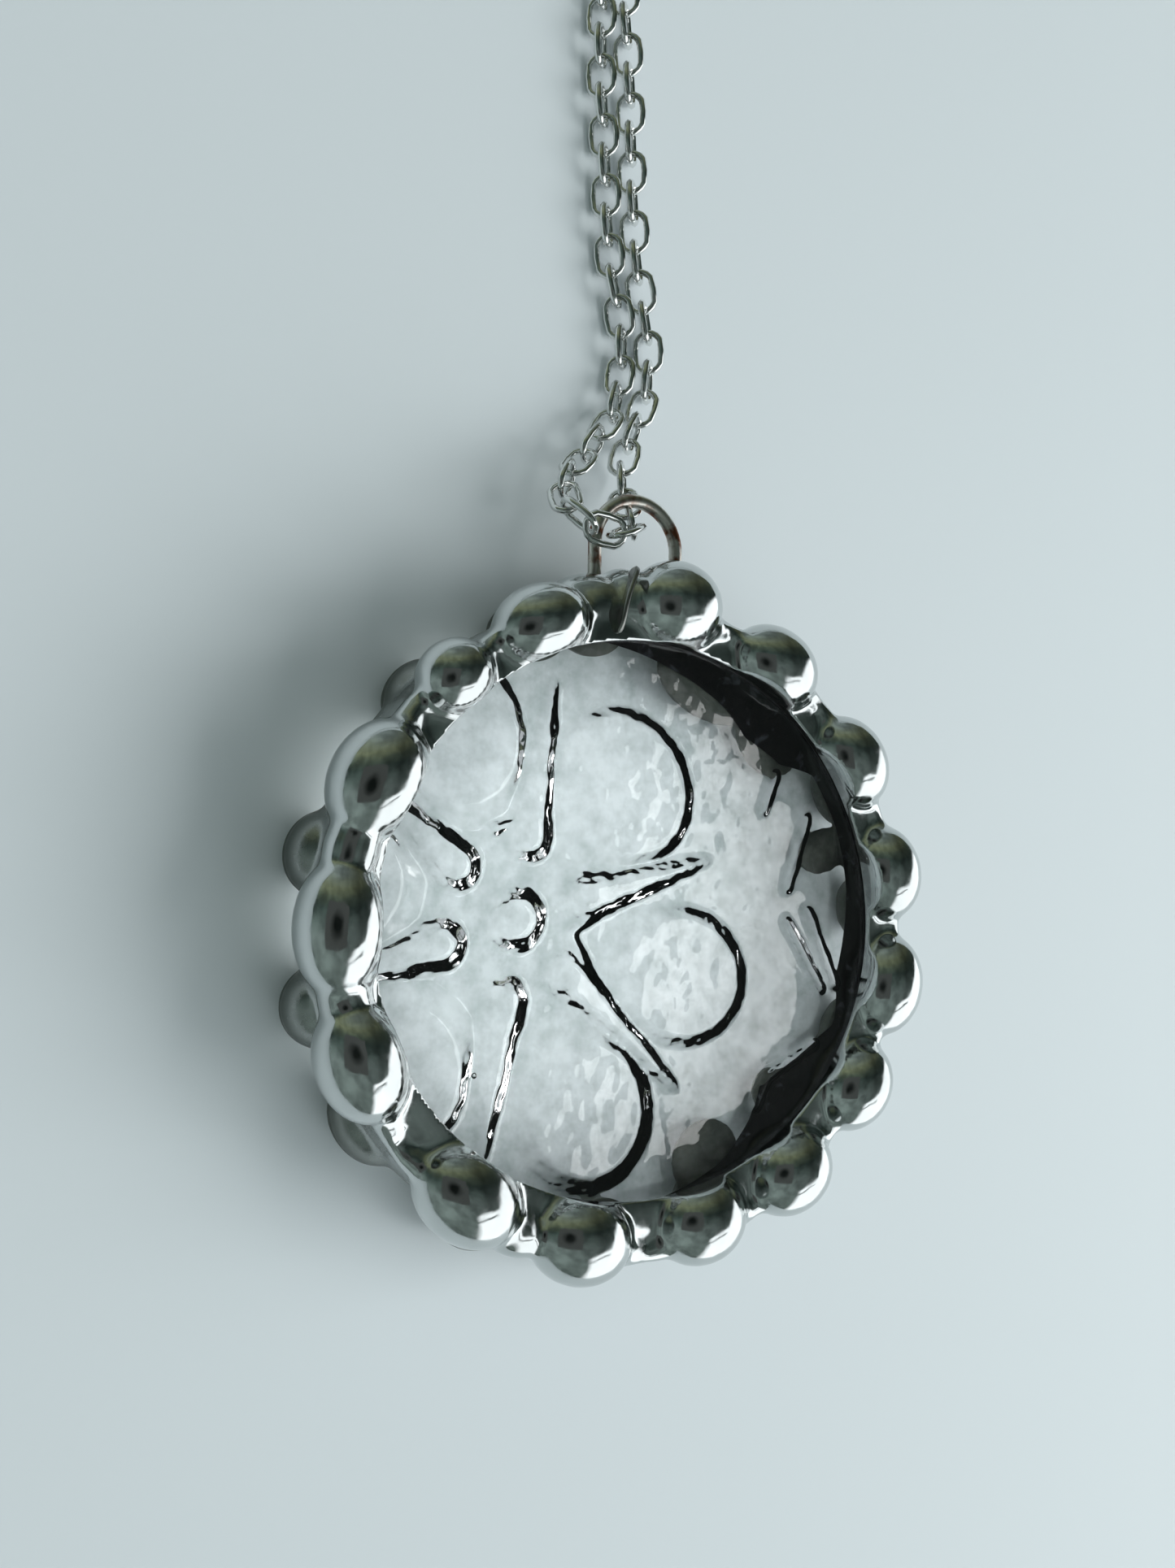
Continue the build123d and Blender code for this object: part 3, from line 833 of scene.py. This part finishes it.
# %% Tinned copper wire
wire_finish, tree, output, places = new_finish("tinned_copper_wire")
patches = add_node(
    tree, "ShaderNodeTexNoise", inputs={"Vector": places, "Scale": 1 / (1.6 * mm), "Detail": 4.0}
)
tin_share = add_node(
    tree,
    "ShaderNodeMapRange",
    inputs={"Value": patches.outputs["Fac"], "From Min": 0.44, "From Max": 0.54},
)
wire_colour = add_node(
    tree,
    "ShaderNodeMix",
    {"data_type": "RGBA"},
    {0: tin_share.outputs["Result"], 6: linear("#7E5038"), 7: linear("#D2D0C8")},
)
tin_skin = add_node(
    tree, "ShaderNodeBump", inputs={"Height": patches.outputs["Fac"], "Distance": 0.04 * mm}
)
metal = add_node(
    tree,
    "ShaderNodeBsdfPrincipled",
    inputs={
        "Base Color": wire_colour.outputs[2],
        "Metallic": 1.0,
        "Roughness": 0.32,
        "Normal": tin_skin.outputs["Normal"],
    },
)
finish_with(wire_finish, output, metal.outputs["BSDF"])

# %% [markdown]
# ### Silver plate
# The chain is drawn wire, plated with silver and new. Its wire is thinner than half a
# millimetre, so the marks of drawing are drawn coarser than they are, or they would not show.
# They change only the gloss, and clouds of 2 mm are the first trace of tarnish.

# %% Silver plate of the chain
silver_finish, tree, output, places = new_finish("silver_plated_drawn_wire")
marks = add_node(
    tree, "ShaderNodeTexNoise", inputs={"Vector": places, "Scale": 1 / (0.2 * mm), "Detail": 2.0}
)
tarnish = add_node(
    tree, "ShaderNodeTexNoise", inputs={"Vector": places, "Scale": 1 / (2.0 * mm), "Detail": 2.0}
)
silver_colour = add_node(
    tree,
    "ShaderNodeMix",
    {"data_type": "RGBA"},
    {0: tarnish.outputs["Fac"], 6: linear("#C9CBC9"), 7: linear("#F0F1EF")},
)
silver_roughness = add_node(
    tree,
    "ShaderNodeMapRange",
    inputs={
        "Value": marks.outputs["Fac"],
        "From Min": 0.35,
        "From Max": 0.65,
        "To Min": 0.02,
        "To Max": 0.08,
    },
)
metal = add_node(
    tree,
    "ShaderNodeBsdfPrincipled",
    inputs={
        "Base Color": silver_colour.outputs[2],
        "Metallic": 1.0,
        "Roughness": silver_roughness.outputs["Result"],
    },
)
finish_with(silver_finish, output, metal.outputs["BSDF"])

# %% [markdown]
# ### Clear pressed glass
# Pressed glass has no colour, but its skin is a little wavy and its back has a frosty look from
# the die. The waves are a very shallow bump of 2.5 mm. The frost is a streaky noise that takes a
# little light away. The floors of the petals are painted clearer than the ground around them, as
# painted light where the petals look brighter, and the height in object coordinates tells them
# from the ground. Glass bends shadow rays too, and that is slow to trace. So shadow rays see a
# transparent shader in its place, and the table below the glass gets its light straight.

# %% Clear pressed glass
glass_finish, tree, output, places = new_finish("clear_pressed_glass")
waves = add_node(
    tree, "ShaderNodeTexNoise", inputs={"Vector": places, "Scale": 1 / (2.5 * mm), "Detail": 3.0}
)
frost = add_node(
    tree,
    "ShaderNodeTexNoise",
    inputs={"Vector": places, "Scale": 1 / (1.6 * mm), "Detail": 6.0, "Roughness": 0.62},
)
clearness = add_node(
    tree,
    "ShaderNodeMapRange",
    inputs={"Value": frost.outputs["Fac"], "From Min": 0.33, "From Max": 0.58, "To Max": 0.6},
)
heights = add_node(tree, "ShaderNodeSeparateXYZ", inputs={"Vector": places})
# Painted light: the petal floors, higher up, are painted clearer and so brighter.
petal_floor_painted_light = add_node(
    tree,
    "ShaderNodeMapRange",
    inputs={"Value": heights.outputs["Z"], "From Min": 2.3 * mm, "From Max": 2.7 * mm},
)
frost_and_painted_light = add_node(
    tree,
    "ShaderNodeMath",
    {"operation": "MULTIPLY_ADD"},
    {0: petal_floor_painted_light.outputs["Result"], 1: 0.4, 2: clearness.outputs["Result"]},
)
glass_colour = add_node(
    tree,
    "ShaderNodeMix",
    {"data_type": "RGBA"},
    {0: frost_and_painted_light.outputs["Value"], 6: linear("#B6BEBC"), 7: linear("#FFFFFF")},
)
glass_skin = add_node(
    tree, "ShaderNodeBump", inputs={"Height": waves.outputs["Fac"], "Distance": 0.01 * mm}
)
clear = add_node(
    tree,
    "ShaderNodeBsdfPrincipled",
    inputs={
        "Base Color": glass_colour.outputs[2],
        "Transmission Weight": 1.0,
        "Roughness": 0.02,
        "IOR": 1.52,
        "Normal": glass_skin.outputs["Normal"],
    },
)
see_through = add_node(tree, "ShaderNodeBsdfTransparent", inputs={"Color": linear("#FAFBFA")})
ray = add_node(tree, "ShaderNodeLightPath")
glass_or_shadow = add_node(
    tree,
    "ShaderNodeMixShader",
    inputs={
        0: ray.outputs["Is Shadow Ray"],
        1: clear.outputs["BSDF"],
        2: see_through.outputs["BSDF"],
    },
)
finish_with(glass_finish, output, glass_or_shadow.outputs["Shader"])

# %% [markdown]
# ### Black back of the foil
# The glue side of this tape is dyed black, so that it does not shine copper through clear glass.
# It is the darkest thing in the picture, and the petals' walls look black because they mirror
# it. It was rubbed down by hand, so it has fine wrinkles of about a millimetre that catch a
# little light, and pale patches on the wrinkles are painted glints.

# %% Black back of the foil
foil_finish, tree, output, places = new_finish("black_backed_copper_foil")
wrinkles = add_node(
    tree,
    "ShaderNodeTexNoise",
    inputs={"Vector": places, "Scale": 1 / (1.1 * mm), "Detail": 4.0, "Distortion": 0.6},
)
# Painted glints: pale patches where the wrinkle noise is high.
painted_glints = add_node(
    tree,
    "ShaderNodeMapRange",
    inputs={"Value": wrinkles.outputs["Fac"], "From Min": 0.6, "From Max": 0.72},
)
foil_colour = add_node(
    tree,
    "ShaderNodeMix",
    {"data_type": "RGBA"},
    {0: painted_glints.outputs["Result"], 6: linear("#050506"), 7: linear("#33383D")},
)
foil_skin = add_node(
    tree, "ShaderNodeBump", inputs={"Height": wrinkles.outputs["Fac"], "Distance": 0.12 * mm}
)
dyed = add_node(
    tree,
    "ShaderNodeBsdfPrincipled",
    inputs={
        "Base Color": foil_colour.outputs[2],
        "Roughness": 0.45,
        "Specular IOR Level": 0.25,
        "Normal": foil_skin.outputs["Normal"],
    },
)
finish_with(foil_finish, output, dyed.outputs["BSDF"])

# %% [markdown]
# ### Edge of the foil
# The standing fold has a thin skin of solder too, but it was never rubbed bright. It is a grey,
# slightly blotchy metal.

# %% Soldered edge of the foil
edge_finish, tree, output, places = new_finish("soldered_foil_edge")
blotches = add_node(
    tree, "ShaderNodeTexNoise", inputs={"Vector": places, "Scale": 1 / (0.6 * mm), "Detail": 3.0}
)
edge_colour = add_node(
    tree,
    "ShaderNodeMix",
    {"data_type": "RGBA"},
    {0: blotches.outputs["Fac"], 6: linear("#6E706C"), 7: linear("#A4A6A2")},
)
metal = add_node(
    tree,
    "ShaderNodeBsdfPrincipled",
    inputs={"Base Color": edge_colour.outputs[2], "Metallic": 1.0, "Roughness": 0.3},
)
finish_with(edge_finish, output, metal.outputs["BSDF"])

# %% [markdown]
# ## Dressing the model
# Every piece gets one finish and rides on the model's root, and the imported part that it stands
# for is hidden. The clasp and the two small rings are simple enough as they are. They keep the
# packed mesh and only get the silver finish.

# %% Give each piece its finish and its place in the model
def dress(piece, finish, slot_name, *nodes):
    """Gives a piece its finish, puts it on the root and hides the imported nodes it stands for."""
    piece.data.materials.clear()
    piece.data.materials.append(finish)
    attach(piece, "root")
    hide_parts(*nodes)


dress(solder, solder_finish, "solder", "solder_frame")
dress(wire_loop, wire_finish, "solder", "solder_frame")
dress(fold, edge_finish, "solder", "solder_frame")
dress(glass, glass_finish, "clear_glass", "glass_roundel")
dress(foil, foil_finish, "black_foil", "foil_band")
dress(chain, silver_finish, "silver_chain", "chain")
for name in ("spring_ring_clasp", "clasp_jump_ring", "tag_jump_ring"):
    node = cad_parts[name]
    node.data.materials.clear()
    node.data.materials.append(silver_finish)

# %% [markdown]
# ## Table
# The necklace lies on plain white paper. A large plane takes its shadow, and a high roughness
# keeps it free of highlights.

# %% Table
start_clean()
bpy.ops.mesh.primitive_plane_add(size=1.2, location=(0, 0, 0))
table_top = keep_place("white_table")
table_finish, tree, output, places = new_finish("matte_white_paper")
matte = add_node(
    tree, "ShaderNodeBsdfPrincipled", inputs={"Base Color": linear("#D6DFE2"), "Roughness": 0.7}
)
finish_with(table_finish, output, matte.outputs["BSDF"])
table_top.data.materials.append(table_finish)

# %% [markdown]
# ## Light
# Daylight comes from a window at the right, low enough to throw shadows to the left, and the
# room gives soft light from above. Lamps would show in the polished drops as bright squares, so
# they are hidden from reflections, and the room below is made for those. Thick glass also
# gathers light on the table under it. A narrow lamp over the glass stands in for that.

# %% Lamps
def add_lamp(name, place, aim, size, power, colour):
    """A square area lamp at a place, turned to face a point."""
    start_clean()
    bpy.ops.object.light_add(type="AREA", location=place)
    lamp = bpy.context.object
    lamp.name = name
    lamp.data.shape = "SQUARE"
    lamp.data.size = size
    lamp.data.energy = power
    lamp.data.color = linear(colour)[:3]
    lamp.rotation_euler = (Vector(aim) - Vector(place)).to_track_quat("-Z", "Y").to_euler()
    return lamp


def toward(azimuth, elevation):
    """The direction at an azimuth and an elevation, in degrees."""
    flat = math.cos(math.radians(elevation))
    turn = math.radians(azimuth)
    return Vector((flat * math.cos(turn), flat * math.sin(turn), math.sin(math.radians(elevation))))


window_distance = 0.42
room_height = 0.8
window_place = middle + toward(-14, 40) * window_distance
window_light = add_lamp("window_light", window_place, middle, 0.28, power=1.15, colour="#FFFFFF")
room_place = middle + Vector((0, 0, room_height))
room_light = add_lamp("room_light", room_place, middle, size=1.2, power=2.0, colour="#F4F8FF")

start_clean()
gathered_place = on_pendant(-14.0, -1.0, 120.0)
gathered_aim = on_pendant(3.5, -1.5, 0.0)
bpy.ops.object.light_add(type="SPOT", location=gathered_place)
gathered = bpy.context.object
gathered.name = "gathered_light"
gathered.rotation_euler = (gathered_aim - gathered_place).to_track_quat("-Z", "Y").to_euler()
gathered.data.energy = 0.08
gathered.data.spot_size = math.radians(16.0)
gathered.data.spot_blend = 0.4
gathered.data.shadow_soft_size = 1.0 * mm
for lamp in (window_light, room_light, gathered):
    lamp.visible_glossy = False

# %% [markdown]
# ## What the drops mirror
# Each drop is a small round mirror, so its look is the look of the room. In a studio a dark card
# is held over polished metal to give it a dark middle. This card is a faintly glowing plane above
# the pendant, no lamp, that only reflections can see, so the dark middle of each drop is a painted
# reflection. Its glow is darkest in its middle and fades to grey.

# %% Glowing card over the drops, a painted reflection
start_clean()
card_place = on_pendant(-46, 3, 78)
card_size = 0.08
bpy.ops.mesh.primitive_plane_add(size=card_size, location=card_place)
card = bpy.context.object
card.rotation_euler = (card_place - middle).to_track_quat("Z", "Y").to_euler()
card = keep_place("dark_card")
card_glow_finish, tree, output, places = new_finish("glowing_card_painted_reflection")
distance = add_node(
    tree, "ShaderNodeVectorMath", {"operation": "DISTANCE"}, {0: places, 1: tuple(card_place)}
)
fading = add_node(
    tree,
    "ShaderNodeMapRange",
    inputs={"Value": distance.outputs["Value"], "From Min": 0.01, "From Max": 0.026},
)
# Painted reflection: the card's glow is darkest in its middle and fades to grey.
painted_reflection_colour = add_node(
    tree,
    "ShaderNodeMix",
    {"data_type": "RGBA"},
    {0: fading.outputs["Result"], 6: linear("#1C211F"), 7: linear("#5E6260")},
)
glow = add_node(
    tree, "ShaderNodeEmission", inputs={"Color": painted_reflection_colour.outputs[2], "Strength": 0.7}
)
finish_with(card_glow_finish, output, glow.outputs["Emission"])
card.data.materials.append(card_glow_finish)
card.visible_camera = False
card.visible_diffuse = False
card.visible_transmission = False
card.visible_shadow = False

# %% [markdown]
# ## The room
# The rest of the room is the world's background. A ramp along the table's length gives darker
# and lighter walls with a touch of olive, and a noise breaks it up as furniture would. Two panes
# at the right are the bright window, with a dark bar in the lower one. The direction that the
# flat front of the glass mirrors is kept dark, or a pale veil would lie over the flower.

# %% Walls of the room
world = bpy.data.worlds.new("studio_room")
bpy.context.scene.world = world
world.use_nodes = True
tree = world.node_tree
tree.nodes.clear()
direction = add_node(tree, "ShaderNodeTexCoord").outputs["Generated"]
split = add_node(tree, "ShaderNodeSeparateXYZ", inputs={"Vector": direction})
WALLS = [
    (0.0, "#6A7672"), (0.42, "#66716E"), (0.55, "#515D59"), (0.68, "#35413D"),
    (0.78, "#4B5549"), (0.86, "#70775F"), (0.95, "#677066"), (1.0, "#7C8885"),
]
up_the_table = add_node(
    tree,
    "ShaderNodeMapRange",
    inputs={"Value": split.outputs["Y"], "From Min": -1.0, "From Max": 1.0},
)
walls = add_node(tree, "ShaderNodeValToRGB", inputs={"Fac": up_the_table.outputs["Result"]})
stops = walls.color_ramp.elements
stops[0].position, stops[0].color = WALLS[0][0], linear(WALLS[0][1])
stops[1].position, stops[1].color = WALLS[-1][0], linear(WALLS[-1][1])
for place, web_colour in WALLS[1:-1]:
    stops.new(place).color = linear(web_colour)
furniture = add_node(
    tree, "ShaderNodeTexNoise", inputs={"Vector": direction, "Scale": 2.6, "Detail": 3.0}
)
uneven = add_node(
    tree,
    "ShaderNodeMapRange",
    inputs={
        "Value": furniture.outputs["Fac"],
        "From Min": 0.35,
        "From Max": 0.65,
        "To Min": 0.65,
        "To Max": 1.35,
    },
)
darker_right = add_node(
    tree,
    "ShaderNodeMapRange",
    inputs={
        "Value": split.outputs["X"],
        "From Min": -0.6,
        "From Max": 0.5,
        "To Min": 1.5,
        "To Max": 0.6,
    },
)
wall_light = add_node(
    tree,
    "ShaderNodeMath",
    {"operation": "MULTIPLY"},
    {0: uneven.outputs["Result"], 1: darker_right.outputs["Result"]},
)
wall_shader = add_node(
    tree,
    "ShaderNodeBackground",
    inputs={"Color": walls.outputs["Color"], "Strength": wall_light.outputs["Value"]},
)

# %% [markdown]
# A window is bright where a direction points far enough towards it. The dot product with the
# window's own direction says how far. A hard ramp on it gives the edge of the pane, and two more
# stops cut the dark bar.

# %% Window panes
toward_right = add_node(
    tree,
    "ShaderNodeVectorMath",
    {"operation": "DOT_PRODUCT"},
    {0: direction, 1: tuple(toward(-20, 0))},
)
right_pane = add_node(
    tree,
    "ShaderNodeMapRange",
    inputs={"Value": toward_right.outputs["Value"], "From Min": 0.74, "From Max": 0.8},
)
toward_low = add_node(
    tree,
    "ShaderNodeVectorMath",
    {"operation": "DOT_PRODUCT"},
    {0: direction, 1: tuple(toward(-60, 0))},
)
black, white = linear("#000000"), linear("#FFFFFF")
BARRED_PANE = [
    (0.54, black), (0.6, white), (0.66, white), (0.68, black), (0.7, black), (0.72, white),
]
barred = add_node(tree, "ShaderNodeValToRGB", inputs={"Fac": toward_low.outputs["Value"]})
stops = barred.color_ramp.elements
stops[0].position, stops[0].color = BARRED_PANE[0]
stops[1].position, stops[1].color = BARRED_PANE[-1]
for place, shade in BARRED_PANE[1:-1]:
    stops.new(place).color = shade
right_of_bar = add_node(
    tree,
    "ShaderNodeMapRange",
    inputs={"Value": split.outputs["X"], "From Min": 0.12, "From Max": 0.25},
)
low_pane = add_node(
    tree,
    "ShaderNodeMath",
    {"operation": "MULTIPLY"},
    {0: barred.outputs["Color"], 1: right_of_bar.outputs["Result"]},
)
both_panes = add_node(
    tree,
    "ShaderNodeMath",
    {"operation": "MAXIMUM"},
    {0: right_pane.outputs["Result"], 1: low_pane.outputs["Value"]},
)
below_sill = add_node(
    tree,
    "ShaderNodeMapRange",
    inputs={
        "Value": split.outputs["Y"],
        "From Min": 0.3,
        "From Max": 0.5,
        "To Min": 1.0,
        "To Max": 0.0,
    },
)
panes = add_node(
    tree,
    "ShaderNodeMath",
    {"operation": "MULTIPLY"},
    {0: both_panes.outputs["Value"], 1: below_sill.outputs["Result"]},
)
window_shader = add_node(
    tree, "ShaderNodeBackground", inputs={"Color": linear("#F4F8FA"), "Strength": 1.9}
)
room = add_node(
    tree,
    "ShaderNodeMixShader",
    inputs={
        0: panes.outputs["Value"],
        1: wall_shader.outputs["Background"],
        2: window_shader.outputs["Background"],
    },
)
add_node(tree, "ShaderNodeOutputWorld", inputs={"Surface": room.outputs["Shader"]})
print("room", len(tree.nodes), "nodes")

# %% [markdown]
# ## Camera
# The photo is a close-up from over the left side of the pendant. The camera's place and its
# three axes were found by matching the rim, the wire loop and the chain in the photo with the
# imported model. The focal length was found in pixels, and a sensor width turns it to millimetres.

# %% Camera
right = Vector((0.873, 0.0174, 0.4874)).normalized()
forward = Vector((0.4854, 0.0664, -0.8718))
forward = (forward - forward.dot(right) * right).normalized()
up = right.cross(forward)
sensor = 36.0
focal_pixels = 1600
picture_pixels = 1445
start_clean()
bpy.ops.object.camera_add()
camera = bpy.context.object
camera.name = "close_up_camera"
turn = Matrix((right, up, -forward)).transposed().to_4x4()
camera.matrix_world = Matrix.Translation(on_pendant(-38.465, 3.019, 68.698)) @ turn
camera.data.sensor_fit = "HORIZONTAL"
camera.data.sensor_width = sensor
camera.data.lens = sensor * focal_pixels / picture_pixels
camera.data.clip_start = 0.005
camera.data.clip_end = 10.0
bpy.context.scene.camera = camera
bpy.context.scene.view_settings.view_transform = "Standard"
